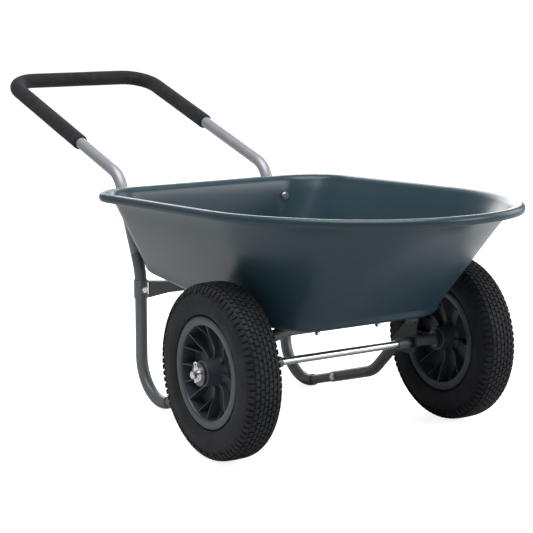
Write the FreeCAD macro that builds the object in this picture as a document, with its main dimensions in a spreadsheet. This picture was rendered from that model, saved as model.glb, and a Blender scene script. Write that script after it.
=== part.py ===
"""Two-wheeled garden cart: a moulded tray on a tube frame, with a U-shaped push handle.

Frame: +X to the pusher's left, +Y back towards the handle, +Z up. The origin is on the ground,
under the middle of the whole cart. The driving dimensions are measured from the axle, so every
piece is placed with the shift cart_shift along Y.
"""
import FreeCAD, Part

import math
import os
import re

import Sketcher
from FreeCAD import Placement, Rotation, Vector

# Driving dimensions in millimetres and degrees. Y is measured from the axle, Z from the ground.
DIMENSIONS = {
    # wheels and axle
    "wheel_radius": 165,
    "half_track": 271.5,
    "tyre_half_width": 37.2,
    "tread_half_width": 25,
    "tyre_wall": 5.5,
    "bead_radius": 93.4,
    "bead_half_width": 27.2,
    "shoulder_radius": 142,
    "lower_bulge_radius": 113,
    "tube_ring_radius": 130,
    "tube_section_radius": 28.8,
    "tube_wall": 2,
    "bead_bend": 5,
    "bulge_bend": 14,
    "shoulder_bend_outer": 26,
    "tread_bend": 10,
    "bead_depth": 7.5,
    "bead_bend_inner": 4,
    "bulge_bend_inner": 9,
    "shoulder_bend_inner": 20,
    "tread_bend_inner": 8,
    "flange_radius": 104.4,
    "rim_half_width": 32.5,
    "flange_thickness": 5,
    "barrel_radius": 93,
    "barrel_wall": 4.5,
    "web_half_thickness": 3,
    "web_root": 2,
    "rib_count": 8,
    "rib_half_thickness": 1.4,
    "rib_barrel_edge": 28,
    "rib_mid_radius": 52,
    "rib_mid_edge": 14,
    "rib_hub_edge": 13,
    "rib_bend": 30,
    "hub_radius": 25,
    "hub_inner_reach": 36,
    "hub_outer_reach": 41,
    "bush_radius": 14,
    "bush_length": 28,
    "bush_flange_radius": 19,
    "bush_flange": 3,
    "rod_radius": 7.5,
    "rod_half_length": 332,
    "running_clearance": 0.05,
    "fit_gap": 0.1,
    "sleeve_radius": 10.4,
    "sleeve_start": 137,
    "sleeve_end": 229,
    "inner_washer_radius": 16,
    "inner_washer": 2.5,
    "outer_washer_radius": 22,
    "outer_washer": 2,
    "end_washer_radius": 14,
    "end_washer": 2.5,
    "washer_gap": 0.5,
    "pin_radius": 2,
    "pin_offset": 324,
    "pin_reach": 15,
    "pin_ring_radius": 6,
    "pin_eye_radius": 1.2,
    "valve_radius": 4,
    "valve_tip_radius": 68,
    "valve_hole_line": 87,
    "valve_angle": 11,
    "valve_gap": 0.3,
    "rod_chamfer": 1.5,
    # tray
    "floor_height": 244.2,
    "floor_tilt": 4.54,
    "rim_height": 456,
    "rim_tilt": -1.95,
    "tray_wall": 4,
    "floor_half_rear": 194.4,
    "floor_half_front": 202.5,
    "floor_rear": 455,
    "floor_shoulder": -50,
    "floor_nose_half": 142,
    "floor_nose": -110,
    "floor_rear_radius": 62,
    "floor_shoulder_radius": 95,
    "floor_nose_radius": 95,
    "edge_low_inset": 18,
    "edge_low_lift": 0,
    "edge_mid_inset": 5,
    "edge_mid_lift": 3,
    "edge_high_inset": -3,
    "edge_high_lift": 11,
    "rim_half": 296,
    "rim_rear": 490,
    "rim_shoulder": -137,
    "rim_nose_half": 138,
    "rim_nose": -375,
    "rim_rear_radius": 115,
    "rim_shoulder_radius": 460,
    "rim_nose_radius": 250,
    "rim_inset": 16.7,
    "shoulder_shift": 0.3,
    "nose_shift": 0.53,
    # rolled lip, from the rim's centre line
    "lip_reach": 8.5,
    "lip_half_height": 8.5,
    "lip_sheet": 4,
    "lip_bend": 7.5,
    "lip_root": 18.7,
    "lip_root_top": 2.5,
    "lip_root_bottom": 5,
    "lip_step": 14,
    # frame tubes
    "tube_radius": 12.5,
    "tube_bore": 11,
    "leg_span": 181.5,
    "leg_line": 458.5,
    "lean": 24.4,
    "lean_corner": 272,
    "lean_bend": 120,
    "lean_length": 213.3,
    "shoulder_bend": 60,
    "arm_rise": 17.1,
    "arm_length": 565.8,
    "grip_bend": 65,
    "arm_joint": 60,
    "foot_corner": -15.8,
    "foot_rise": 16.4,
    "foot_bend": 84,
    "leg_top": 40,
    "leg_front": 116,
    "neck": 3,
    "spigot_top": 90,
    "spigot_front": 240,
    "spigot_radius": 10.1,
    "spigot_bore": 8.7,
    "spigot_overlap": 0.4,
    "front_radius": 11.5,
    "front_bore": 10.3,
    "front_start": 189,
    "strut_corner": 338,
    "strut_bend": 80,
    "strut_rise": 43.6,
    "strut_length": 218.8,
    "strut_joint": 60,
    "cross_bend": 60,
    "joint_bolt": 205.5,
    # foam grip
    "foam_radius": 17.3,
    "foam_bore": 12.6,
    "foam_right": 386,
    "foam_left": 308,
    # brace and gusset plates
    "brace_height": 237,
    "brace_half_depth": 9,
    "brace_sheet": 2,
    "band_radius": 14.6,
    "band_half_height": 19,
    "brace_waist": 120,
    "brace_end_top": 16,
    "brace_end_bottom": 19,
    "brace_waist_top": 11,
    "brace_waist_bottom": 13,
    "brace_end_gap": 1.2,
    "band_gap": 0.6,
    "gusset_plane": 165.8,
    "gusset_sheet": 4,
    "gusset_front": 22,
    "gusset_heel": 30,
    "gusset_rear": 62,
    "gusset_peak": 4,
    "gusset_bottom": 143,
    "gusset_rear_height": 157,
    "gusset_front_height": 206,
    "gusset_top": 220,
    "gusset_bend": 5,
    "gusset_nose_bend": 18,
    "gusset_heel_bend": 12,
    # fasteners
    "bolt_radius": 3,
    "bolt_hole": 3.2,
    "bolt_head_radius": 6.2,
    "bolt_head": 4,
    "nut_radius": 5.8,
    "nut_height": 5,
    "plain_washer_radius": 9,
    "plain_washer": 1.5,
    "floor_bolt_span": 70.5,
    "floor_bolt_line": -24,
    "wall_bolt_height": 406,
    "wall_spacer_radius": 8,
    "wall_bolt_length": 82,
    "wall_bolt_end": 2,
    "wall_inside": 461.9,
    "wall_spacer_start": 471.1,
    "wall_spacer_end": 498.4,
    "bolt_gap": 0.2,
    "bolt_end": 3,
    "floor_bolt_end": 1.5,
    "floor_washer_lift": 0.9,
    "deep_drill": 60,
    "handle_drill": 100,
    "short_drill": 20,
    # shift from the axle to the middle of the cart
    "cart_shift": -360.5,
}

ALONG_X = Rotation(Vector(0, 1, 0), 90)
ALONG_Y = Rotation(Vector(1, 0, 0), -90)
SIDES = {"left": 1, "right": -1}

doc = FreeCAD.newDocument("GardenCart")
sheet = doc.addObject("Spreadsheet::Sheet", "Dimensions")
for row, (alias, number) in enumerate(DIMENSIONS.items(), start=1):
    sheet.set(f"A{row}", alias)
    sheet.set(f"B{row}", str(number))
    sheet.setAlias(f"B{row}", alias)
doc.recompute()


def rule(text):
    """An expression over the sheet, from a formula that names its cells."""
    return re.sub(r"[a-z_]+", lambda word: cell_name(word.group()), str(text))


def cell_name(word):
    return f"Dimensions.{word}" if word in DIMENSIONS else word


def number_of(text):
    """The number that a formula over the sheet gives."""
    return float(sheet.evalExpression(rule(text)))


def bind(item, rules):
    for name, text in rules.items():
        item.setExpression(name, rule(text))


def new_body(name):
    body = doc.addObject("PartDesign::Body", name)
    body.Label = name
    body.setExpression("Placement.Base.y", rule("cart_shift"))
    return body


def add_sketch(body, name, role, offset=None, tilt=None):
    """A sketch on one of the body's origin planes, moved by offset rules and tilted about its X axis."""
    plane = next(item for item in body.Origin.OriginFeatures if item.Role == role)
    sketch = body.newObject("Sketcher::SketchObject", name)
    sketch.AttachmentSupport = [(plane, "")]
    sketch.MapMode = "FlatFace"
    if tilt is not None:
        sketch.AttachmentOffset = Placement(Vector(), Rotation(Vector(1, 0, 0), number_of(tilt)))
        sketch.setExpression("AttachmentOffset.Rotation.Angle", rule(tilt))
    for axis, text in (offset or {}).items():
        sketch.setExpression(f"AttachmentOffset.Base.{axis}", rule(text))
    return sketch


def constrain(sketch, kind, where, text):
    index = sketch.addConstraint(Sketcher.Constraint(kind, *where, number_of(text)))
    sketch.setExpression(f"Constraints[{index}]", rule(text))


def pin_point(sketch, geometry, end, corner):
    constrain(sketch, "DistanceX", (geometry, end), corner[0])
    constrain(sketch, "DistanceY", (geometry, end), corner[1])


def add_circle(sketch, radius, centre=(0, 0)):
    middle = Vector(number_of(centre[0]), number_of(centre[1]), 0)
    index = sketch.addGeometry(Part.Circle(middle, Vector(0, 0, 1), number_of(radius)))
    constrain(sketch, "Radius", (index,), radius)
    pin_point(sketch, index, 3, centre)


def round_corner(before, corner, after, radius):
    """The start, middle and end points of the arc that rounds a corner."""
    back = (before - corner).normalize()
    ahead = (after - corner).normalize()
    half = back.getAngle(ahead) / 2
    reach = radius / math.tan(half)
    inward = (back + ahead).normalize()
    centre = corner + inward * (radius / math.sin(half))
    return corner + back * reach, centre - inward * radius, corner + ahead * reach


def add_outline(sketch, corners, radii, closed=True):
    """Straight edges through the corners, each corner rounded by its radius, or sharp where it is None."""
    points = [Vector(number_of(x), number_of(y), 0) for x, y in corners]
    count = len(points)
    rounded = {}
    for index in range(count):
        inner = closed or 0 < index < count - 1
        if inner and radii[index] is not None:
            after = points[(index + 1) % count]
            rounded[index] = round_corner(points[index - 1], points[index], after, number_of(radii[index]))
    lines = {}
    for index in range(count if closed else count - 1):
        other = (index + 1) % count
        start = rounded[index][2] if index in rounded else points[index]
        end = rounded[other][0] if other in rounded else points[other]
        lines[index] = sketch.addGeometry(Part.LineSegment(start, end))
    for index in range(count):
        into = lines.get((index - 1) % count) if closed or index > 0 else None
        out = lines.get(index)
        if index in rounded:
            join_with_arc(sketch, into, out, rounded[index], corners[index], radii[index])
            continue
        if into is not None and out is not None:
            sketch.addConstraint(Sketcher.Constraint("Coincident", into, 2, out, 1))
        if out is not None:
            pin_point(sketch, out, 1, corners[index])
        else:
            pin_point(sketch, into, 2, corners[index])


def join_with_arc(sketch, into, out, arc_points, corner, radius):
    arc = Part.Arc(*arc_points)
    index = sketch.addGeometry(arc)
    start = sketch.getPoint(index, 1)
    forward = start.distanceToPoint(arc_points[0]) < start.distanceToPoint(arc_points[2])
    first, last = (1, 2) if forward else (2, 1)
    sketch.addConstraint(Sketcher.Constraint("Tangent", into, 2, index, first))
    sketch.addConstraint(Sketcher.Constraint("Tangent", out, 1, index, last))
    constrain(sketch, "Radius", (index,), radius)
    mark = Vector(number_of(corner[0]), number_of(corner[1]), 0)
    point = sketch.addGeometry(Part.Point(mark), True)
    pin_point(sketch, point, 1, corner)
    sketch.addConstraint(Sketcher.Constraint("PointOnObject", point, 1, into))
    sketch.addConstraint(Sketcher.Constraint("PointOnObject", point, 1, out))


def add_pipe(body, name, path, radius, subtract=False):
    """A round bar of the given radius along the path, or a round bore."""
    ring = body.newObject("Sketcher::SketchObject", f"{name}_section")
    ring.AttachmentSupport = [(path, "Edge1")]
    ring.MapMode = "NormalToEdge"
    ring.MapPathParameter = 0
    add_circle(ring, radius)
    doc.recompute()
    kind = "PartDesign::SubtractivePipe" if subtract else "PartDesign::AdditivePipe"
    pipe = body.newObject(kind, name)
    pipe.Profile = ring
    pipe.Spine = path
    pipe.Mode = "Standard"
    doc.recompute()
    return pipe


def add_prism(body, name, sketch, length, subtract=False, symmetric=False, backwards=False):
    kind = "PartDesign::Pocket" if subtract else "PartDesign::Pad"
    prism = body.newObject(kind, name)
    prism.Profile = sketch
    prism.setExpression("Length", rule(length))
    if symmetric:
        prism.SideType = "Symmetric"
    prism.Reversed = backwards
    doc.recompute()
    return prism


def drill(body, name, role, centres, radius, reach, offset=None, tilt=None):
    """Round holes through a body, each reach long with its middle on the sketch's plane."""
    before = body.Shape.Volume
    sketch = add_sketch(body, f"{name}_circles", role, offset, tilt)
    for centre in centres:
        add_circle(sketch, radius, centre)
    doc.recompute()
    add_prism(body, name, sketch, reach, subtract=True, symmetric=True)
    if body.Shape.Volume >= before:
        raise RuntimeError(f"{body.Label}: {name} cuts nothing")


def add_turned(body, name, role, corners, radii, offset):
    """A ring turned about the sketch's X axis."""
    sketch = add_sketch(body, f"{name}_profile", role, offset)
    add_outline(sketch, corners, radii)
    doc.recompute()
    turned = body.newObject("PartDesign::Revolution", name)
    turned.Profile = sketch
    turned.ReferenceAxis = (sketch, ["H_Axis"])
    turned.Angle = 360
    doc.recompute()
    return turned


# Primitives for the small turned and hexagonal pieces.
def add_cylinder(name, radius, height, rotation, at):
    cylinder = doc.addObject("Part::Cylinder", name)
    bind(cylinder, {"Radius": radius, "Height": height})
    place(cylinder, rotation, at)
    return cylinder


def place(item, rotation, at):
    item.Placement = Placement(Vector(), rotation)
    for axis, text in zip("xyz", at):
        shifted = f"({text}) + cart_shift" if axis == "y" else text
        item.setExpression(f"Placement.Base.{axis}", rule(shifted))


def add_hexagon(name, radius, height, rotation, at):
    prism = doc.addObject("Part::Prism", name)
    prism.Polygon = 6
    bind(prism, {"Circumradius": radius, "Height": height})
    place(prism, rotation, at)
    return prism


def add_cut(name, base, tool):
    cut = doc.addObject("Part::Cut", name)
    cut.Base = base
    cut.Tool = tool
    cut.Label = name
    return cut


def add_fuse(name, items):
    fuse = doc.addObject("Part::MultiFuse", name)
    fuse.Shapes = items
    fuse.Label = name
    return fuse


def add_group(name, items):
    group = doc.addObject("Part::Compound", name)
    group.Links = items
    group.Label = name
    return group


def add_washer(name, radius, bore, height, rotation, at):
    disc = add_cylinder(f"{name}_disc", radius, height, rotation, at)
    hole = add_cylinder(f"{name}_hole", bore, height, rotation, at)
    return add_cut(name, disc, hole)


# Tray: walls lofted between the floor outline and the rim outline, then the rolled rim.
def tray_corners(half_rear, half_front, rear, shoulder, nose_half, nose):
    """Corners of a tray outline, from the left rear corner round the nose to the right rear corner."""
    left = [(half_rear, rear), (half_front, shoulder), (nose_half, nose)]
    right = [(f"-({x})", y) for x, y in reversed(left)]
    return left + right


def tray_radii(rear, shoulder, nose):
    return [rear, shoulder, nose, nose, shoulder, rear]


def floor_section(body, name, inset, lift):
    sketch = add_sketch(body, name, "XY_Plane", {"z": f"floor_height + {lift}"}, tilt="floor_tilt")
    corners = tray_corners(
        f"floor_half_rear - {inset}",
        f"floor_half_front - {inset}",
        f"floor_rear - {inset}",
        "floor_shoulder",
        "floor_nose_half",
        f"floor_nose + {inset}",
    )
    corner_radii = ("floor_rear_radius", "floor_shoulder_radius", "floor_nose_radius")
    reduced = [f"{radius} - {inset}" for radius in corner_radii]
    add_outline(sketch, corners, tray_radii(*reduced))
    return sketch


def rim_section(body, name, inset, lift):
    sketch = add_sketch(body, name, "XY_Plane", {"z": f"rim_height + {lift}"}, tilt="rim_tilt")
    corners = tray_corners(
        f"rim_half - ({inset})",
        f"rim_half - ({inset})",
        f"rim_rear - ({inset})",
        f"rim_shoulder + shoulder_shift * ({inset})",
        f"rim_nose_half - nose_shift * ({inset})",
        f"rim_nose + {inset}",
    )
    corner_radii = ("rim_rear_radius", "rim_shoulder_radius", "rim_nose_radius")
    reduced = [f"{radius} - ({inset})" for radius in corner_radii]
    add_outline(sketch, corners, tray_radii(*reduced))
    return sketch


def add_loft(body, name, sections, subtract=False):
    kind = "PartDesign::SubtractiveLoft" if subtract else "PartDesign::AdditiveLoft"
    loft = body.newObject(kind, name)
    loft.Profile = sections[0]
    loft.Sections = sections[1:]
    loft.Ruled = True
    doc.recompute()
    return loft


def wall_sections(body, name, inset):
    """Sections from the floor, round its edge, up to the rim; inset is the depth inside the outer skin."""
    sections = []
    for step in ("low", "mid", "high"):
        inward = f"({inset} + edge_{step}_inset)"
        sections.append(floor_section(body, f"{name}_{step}", inward, f"{inset} + edge_{step}_lift"))
    sections.append(rim_section(body, f"{name}_rim", f"rim_inset + {inset}", "0"))
    doc.recompute()
    return sections


def make_tray():
    shell = new_body("tray_shell")
    add_loft(shell, "outer_walls", wall_sections(shell, "outer", "0"))
    add_loft(shell, "inner_walls", wall_sections(shell, "inner", "tray_wall"), subtract=True)
    floor_bolts = [(f"{sign} * floor_bolt_span", "floor_bolt_line") for sign in SIDES.values()]
    drill(shell, "floor_holes", "XY_Plane", floor_bolts, "bolt_hole", "deep_drill", {"z": "floor_height"})
    wall_bolts = [(f"{sign} * leg_span", "wall_bolt_height") for sign in SIDES.values()]
    drill(shell, "wall_holes", "XZ_Plane", wall_bolts, "bolt_hole", "deep_drill", {"z": "-wall_inside"})
    roll = new_body("tray_roll")
    path = rim_section(roll, "bead_path", "0", "0")
    side_start = "(rim_rear - rim_rear_radius)"
    lip = add_sketch(roll, "lip_section", "XZ_Plane", {
        "x": "rim_half",
        "y": f"rim_height + {side_start} * sin(rim_tilt * 1 deg)",
        "z": f"-{side_start} * cos(rim_tilt * 1 deg)",
    })
    inner = "lip_reach - lip_sheet"
    corners = [
        ("-lip_root", "-lip_root_bottom"),
        ("-lip_root", "lip_root_top"),
        (0, "lip_half_height"),
        ("lip_reach", "lip_half_height"),
        ("lip_reach", "-lip_half_height"),
        (inner, "-lip_half_height"),
        (inner, "lip_half_height - lip_sheet"),
        ("-lip_sheet / 4", "lip_half_height - lip_sheet"),
        ("-lip_step", "-lip_sheet / 4"),
        ("-lip_step - 2", "-lip_root_bottom"),
    ]
    radii = [None, None, None, "lip_bend", None, None, "lip_bend - lip_sheet", None, None, None]
    add_outline(lip, corners, radii)
    doc.recompute()
    rim = roll.newObject("PartDesign::AdditivePipe", "rolled_rim")
    rim.Profile = lip
    rim.Spine = path
    doc.recompute()
    return add_fuse("tray", [shell, roll])


# Frame: points along the leg and handle tubes, as rules for Y and Z in a plane of constant X.
def up_the_lean(reach):
    return (f"leg_line + ({reach}) * sin(lean * 1 deg)", f"lean_corner + ({reach}) * cos(lean * 1 deg)")


def along_the_foot(reach):
    line = f"leg_line - ({reach}) * cos(foot_rise * 1 deg)"
    height = f"foot_corner + ({reach}) * sin(foot_rise * 1 deg)"
    return line, height


def from_point(point, reach, angle, forward=1):
    y, z = point
    return (f"{y} + {forward} * ({reach}) * cos({angle} * 1 deg)", f"{z} + ({reach}) * sin({angle} * 1 deg)")


def side_path(body, name, sign, corners, radii):
    path = add_sketch(body, name, "YZ_Plane", {"z": f"{sign} * leg_span"})
    add_outline(path, corners, radii, closed=False)
    doc.recompute()
    return path


def make_leg(side, sign):
    leg = new_body(f"leg_{side}")
    corners = [("leg_line", "lean_corner"), ("leg_line", "foot_corner")]
    bends = [None, "lean_bend", "foot_bend", None]

    def leg_path(name, top, front):
        return side_path(leg, name, sign, [up_the_lean(top), *corners, along_the_foot(front)], bends)

    tube_path = leg_path("tube_path", "leg_top", "leg_front")
    bore_path = leg_path("bore_path", "leg_top - neck", "leg_front - neck")
    spigot_path = leg_path("spigot_path", "spigot_top", "spigot_front")
    add_pipe(leg, "tube", tube_path, "tube_radius")
    add_pipe(leg, "tube_bore", bore_path, "spigot_radius - spigot_overlap", subtract=True)
    add_pipe(leg, "spigots", spigot_path, "spigot_radius")
    add_pipe(leg, "spigot_bore_cut", spigot_path, "spigot_bore", subtract=True)
    drill(leg, "joint_hole", "YZ_Plane", [along_the_foot("joint_bolt")], "bolt_hole", "deep_drill",
          {"z": f"{sign} * leg_span"})
    drill(leg, "brace_hole", "XZ_Plane", [(f"{sign} * leg_span", "brace_height")], "bolt_hole", "deep_drill",
          {"z": "-leg_line"})
    return leg


def make_handle():
    """The arms and crossbar lie in one rising plane; each side then bends down behind the tray."""
    handle = new_body("handle_tube")
    shoulder = up_the_lean("lean_length")
    arms = arm_sketch(handle, "arm_path", "arm_length - arm_joint", "arm_length - arm_joint")
    add_pipe(handle, "arms", arms, "tube_radius")
    add_pipe(handle, "arms_bore", arms, "tube_bore", subtract=True)
    for side, sign in SIDES.items():
        arm = from_point(shoulder, "arm_joint", "arm_rise")
        corners = [arm, shoulder, up_the_lean("leg_top + washer_gap")]
        path = side_path(handle, f"{side}_path", sign, corners, [None, "shoulder_bend", None])
        add_pipe(handle, f"{side}_side", path, "tube_radius")
        add_pipe(handle, f"{side}_bore", path, "tube_bore", subtract=True)
    wall_bolts = [(f"{sign} * leg_span", "wall_bolt_height") for sign in SIDES.values()]
    drill(handle, "wall_holes", "XZ_Plane", wall_bolts, "bolt_hole", "handle_drill",
          {"z": "-wall_spacer_end"})
    return handle


def arm_sketch(body, name, left_reach, right_reach):
    """The U of the handle, drawn in the plane of its arms, from the left arm round to the right arm."""
    shoulder = up_the_lean("lean_length")
    crossbar = from_point(shoulder, "arm_length", "arm_rise")
    sketch = add_sketch(body, name, "XY_Plane", {"y": crossbar[0], "z": crossbar[1]}, tilt="arm_rise")
    corners = [("leg_span", f"-({left_reach})"), ("leg_span", "0"), ("-leg_span", "0"),
               ("-leg_span", f"-({right_reach})")]
    add_outline(sketch, corners, [None, "grip_bend", "grip_bend", None], closed=False)
    doc.recompute()
    return sketch


def make_grip():
    grip = new_body("foam_grip")
    path = arm_sketch(grip, "grip_path", "foam_left", "foam_right")
    add_pipe(grip, "foam", path, "foam_radius")
    add_pipe(grip, "foam_bore_cut", path, "foam_bore", subtract=True)
    return grip


def under_tray_crossing():
    """The height and line at which the struts meet the cross run."""
    return from_point(along_the_foot("strut_corner"), "strut_length", "strut_rise", forward=-1)


def cross_sketch(body):
    """The U of the two struts and the cross run, drawn in the struts' own sloping plane."""
    crossing = under_tray_crossing()
    place_at = {"y": crossing[0], "z": crossing[1]}
    cross = add_sketch(body, "cross_path", "XY_Plane", place_at, tilt="-strut_rise")
    reach = "strut_length - strut_joint"
    outline = [("leg_span", reach), ("leg_span", "0"), ("-leg_span", "0"), ("-leg_span", reach)]
    add_outline(cross, outline, [None, "cross_bend", "cross_bend", None], closed=False)
    doc.recompute()
    return cross


def make_front_frame():
    """One tube: forward from each foot, up the struts and across under the tray."""
    frame = new_body("front_frame_tube")
    cross = cross_sketch(frame)
    corner = along_the_foot("strut_corner")
    add_pipe(frame, "cross_run", cross, "front_radius")
    add_pipe(frame, "cross_bore", cross, "front_bore", subtract=True)
    for side, sign in SIDES.items():
        strut = from_point(corner, "strut_joint", "strut_rise", forward=-1)
        corners = [strut, corner, along_the_foot("front_start")]
        path = side_path(frame, f"{side}_path", sign, corners, [None, "strut_bend", None])
        add_pipe(frame, f"{side}_side", path, "front_radius")
        add_pipe(frame, f"{side}_bore", path, "front_bore", subtract=True)
        drill(frame, f"{side}_joint_hole", "YZ_Plane", [along_the_foot("joint_bolt")], "bolt_hole",
              "deep_drill", {"z": f"{sign} * leg_span"})
    bolts = [(f"{sign} * floor_bolt_span", "floor_bolt_line") for sign in SIDES.values()]
    crossing = under_tray_crossing()
    drill(frame, "floor_bolt_holes", "XY_Plane", bolts, "bolt_hole", "deep_drill", {"z": crossing[1]})
    return frame


def make_brace():
    """A pressed channel between the legs, open to the rear, with a band round each leg."""
    brace = new_body("rear_brace")
    end = "leg_span - tube_radius - brace_end_gap"
    web = add_sketch(brace, "web_outline", "XZ_Plane", {"z": "-leg_line"})
    add_outline(web, brace_outline(end, "0"), [None] * 8)
    doc.recompute()
    add_prism(brace, "channel", web, "2 * brace_half_depth", symmetric=True)
    hollow = add_sketch(brace, "hollow_outline", "XZ_Plane", {"z": "-leg_line - brace_sheet"})
    add_outline(hollow, brace_outline(f"{end} + brace_half_depth", "brace_sheet"), [None] * 8)
    doc.recompute()
    add_prism(brace, "hollow", hollow, "2 * brace_half_depth", subtract=True, symmetric=True)
    for side, sign in SIDES.items():
        ring = add_sketch(brace, f"{side}_band", "XY_Plane", {"z": "brace_height"})
        add_circle(ring, "band_radius", (f"{sign} * leg_span", "leg_line"))
        add_circle(ring, "tube_radius + band_gap", (f"{sign} * leg_span", "leg_line"))
        doc.recompute()
        add_prism(brace, f"{side}_band_pad", ring, "2 * band_half_height", symmetric=True)
        drill(brace, f"{side}_hole", "XZ_Plane", [(f"{sign} * leg_span", "brace_height")], "bolt_hole",
              "deep_drill", {"z": "-leg_line"})
    return brace


def brace_outline(end, inset):
    """Front view of the brace: tall at the legs, tapering to a lower middle run."""
    half = [
        (end, f"brace_height + brace_end_top - ({inset})"),
        ("brace_waist", f"brace_height + brace_waist_top - ({inset})"),
        ("brace_waist", f"brace_height - brace_waist_bottom + ({inset})"),
        (end, f"brace_height - brace_end_bottom + ({inset})"),
    ]
    mirrored = [(f"-({x})", z) for x, z in half]
    return [half[0], half[1], mirrored[1], mirrored[0], mirrored[3], mirrored[2], half[2], half[3]]


def make_gusset(side, sign):
    """A plate welded to the inner side of the strut, which carries the axle sleeve."""
    plate = new_body(f"axle_bracket_{side}")
    middle = "gusset_plane + gusset_sheet / 2"
    outline = add_sketch(plate, "plate_outline", "YZ_Plane", {"z": f"{sign} * ({middle})"})
    corners = [
        ("-gusset_front", "gusset_bottom"),
        ("gusset_heel", "gusset_bottom"),
        ("gusset_rear", "gusset_rear_height"),
        ("-gusset_peak", "gusset_top"),
        ("-gusset_front", "gusset_front_height"),
    ]
    radii = ["gusset_nose_bend", "gusset_heel_bend", "gusset_bend", "gusset_bend", "gusset_bend"]
    add_outline(outline, corners, radii)
    doc.recompute()
    add_prism(plate, "plate", outline, "gusset_sheet", symmetric=True)
    add_pipe(plate, "tube_notch", cross_sketch(plate), "front_radius + fit_gap", subtract=True)
    drill(plate, "sleeve_hole", "YZ_Plane", [(0, "wheel_radius")], "sleeve_radius + fit_gap", "short_drill",
          {"z": f"{sign} * ({middle})"})
    return plate


# Axle: the rod, the sleeves that the frame carries it in, and the washers and pins on its ends.
def make_axle():
    rod = new_body("axle_rod")
    circle = add_sketch(rod, "rod_section", "YZ_Plane", {"y": "wheel_radius"})
    add_circle(circle, "rod_radius")
    doc.recompute()
    add_prism(rod, "bar", circle, "2 * rod_half_length", symmetric=True)
    chamfer = rod.newObject("PartDesign::Chamfer", "end_chamfers")
    rims = [f"Edge{index}" for index, edge in enumerate(rod.Shape.Edges, start=1) if edge.isClosed()]
    chamfer.Base = (rod.getObject("bar"), rims)
    chamfer.setExpression("Size", rule("rod_chamfer"))
    doc.recompute()
    pins = [(f"{sign} * pin_offset", 0) for sign in SIDES.values()]
    drill(rod, "pin_holes", "XY_Plane", pins, "pin_radius + fit_gap", "deep_drill", {"z": "wheel_radius"})
    for side, sign in SIDES.items():
        make_axle_end(side, sign)


def ring_along_axle(name, sign, start, length, radius, bore):
    """A ring on the axle from start outwards, on the side given by sign."""
    begin = start if sign > 0 else f"-({start}) - ({length})"
    return add_washer(name, radius, bore, length, ALONG_X, (begin, "0", "wheel_radius"))


def make_axle_end(side, sign):
    ring_along_axle(f"axle_sleeve_{side}", sign, "sleeve_start", "sleeve_end - sleeve_start", "sleeve_radius",
                    "rod_radius + fit_gap")
    ring_along_axle(f"inner_washer_{side}", sign, "sleeve_end", "inner_washer", "inner_washer_radius",
                    "rod_radius + fit_gap")
    face = "half_track + hub_outer_reach + bush_flange + washer_gap"
    ring_along_axle(f"outer_washer_{side}", sign, face, "outer_washer", "outer_washer_radius",
                    "rod_radius + fit_gap")
    ring_along_axle(f"end_washer_{side}", sign, f"{face} + outer_washer", "end_washer", "end_washer_radius",
                    "rod_radius + fit_gap")
    make_split_pin(side, sign)


def make_split_pin(side, sign):
    name = f"split_pin_{side}"
    place_x = f"{sign} * pin_offset"
    shank = add_cylinder(f"{name}_shank", "pin_radius", "2 * pin_reach", Rotation(),
                         (place_x, "0", "wheel_radius - pin_reach"))
    eye = doc.addObject("Part::Torus", f"{name}_eye")
    bind(eye, {"Radius1": "pin_ring_radius - pin_radius", "Radius2": "pin_eye_radius"})
    place(eye, ALONG_X, (place_x, "0", "wheel_radius + pin_reach + pin_ring_radius - pin_radius"))
    return add_fuse(name, [shank, eye])


# Wheels: every profile is drawn in the plane of the axle, as distances from the wheel's middle and the axle.
def wheel_offset(sign):
    return {"x": f"{sign} * half_track", "y": "wheel_radius"}


def mirrored_profile(half):
    return half + [(f"-({x})", radius) for x, radius in reversed(half)]


def make_tyre(side, sign):
    tyre = new_body(f"tyre_{side}")
    outer = mirrored_profile([
        ("bead_half_width", "bead_radius"),
        ("bead_half_width", "flange_radius + 2"),
        ("tyre_half_width", "lower_bulge_radius"),
        ("tyre_half_width", "shoulder_radius"),
        ("tread_half_width", "wheel_radius"),
    ])
    inner = mirrored_profile([
        ("bead_half_width - bead_depth", "bead_radius"),
        ("bead_half_width - bead_depth", "flange_radius + bead_bend_inner"),
        ("tyre_half_width - tyre_wall", "lower_bulge_radius + tube_wall"),
        ("tyre_half_width - tyre_wall", "shoulder_radius - tube_wall"),
        ("tread_half_width - bead_bend_inner", "wheel_radius - tyre_wall"),
    ])
    bends = [None, "bead_bend", "bulge_bend", "shoulder_bend_outer", "tread_bend"]
    inner_bends = [None, "bead_bend_inner", "bulge_bend_inner", "shoulder_bend_inner", "tread_bend_inner"]
    half = len(bends)
    ring = outer[half:] + inner[half:][::-1] + inner[:half][::-1] + outer[:half]
    radii = bends[::-1] + inner_bends + inner_bends[::-1] + bends
    add_turned(tyre, "carcass", "XZ_Plane", ring, radii, wheel_offset(sign))
    return tyre


def make_inner_tube(side, sign):
    name = f"inner_tube_{side}"
    skin = doc.addObject("Part::Torus", f"{name}_skin")
    bind(skin, {"Radius1": "tube_ring_radius", "Radius2": "tube_section_radius"})
    air = doc.addObject("Part::Torus", f"{name}_air")
    bind(air, {"Radius1": "tube_ring_radius", "Radius2": "tube_section_radius - tube_wall"})
    for item in (skin, air):
        place(item, ALONG_X, (f"{sign} * half_track", "0", "wheel_radius"))
    return add_cut(name, skin, air)


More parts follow.
